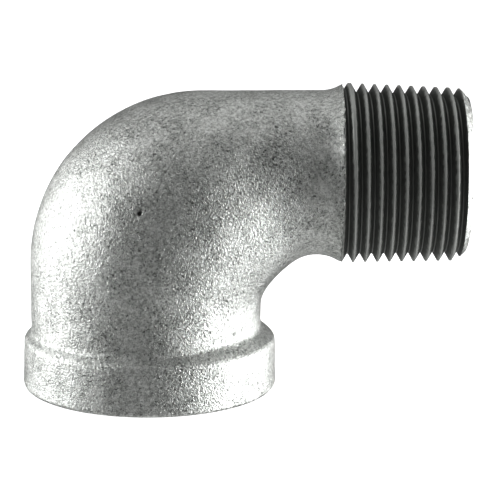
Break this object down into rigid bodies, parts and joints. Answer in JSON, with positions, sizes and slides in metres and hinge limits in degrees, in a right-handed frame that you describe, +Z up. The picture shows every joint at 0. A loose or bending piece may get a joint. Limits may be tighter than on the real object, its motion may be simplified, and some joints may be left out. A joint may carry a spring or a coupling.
{
  "type": "pipe elbow",
  "caption": "Right-angle street elbow for threaded steel pipe: a banded female socket below and a male tapered thread to the side, with a hot-dip zinc skin.",
  "frame": {"origin": "centre of the female mouth, on its flat machined face", "axes": "+Z up along the female thread's axis, from the mouth into the fitting; +X along the male thread's axis, out of the male end; the fitting is symmetric about Y = 0 apart from its threads"},
  "size_m": [0.0664, 0.0384, 0.0461],
  "materials": {
    "cut_iron": "machined threads darkened by cutting oil, bare grey iron at the faced mouth",
    "zinc_skin": "dull grainy hot-dip galvanised casting skin",
    "zinc_bore": "dull hot-dip galvanised casting skin"
  },
  "bodies": {
    "root": {"iron_casting": "cut_iron", "zinc_coat_outside": "zinc_skin", "zinc_coat_inside": "zinc_bore"}
  },
  "joints": []
}
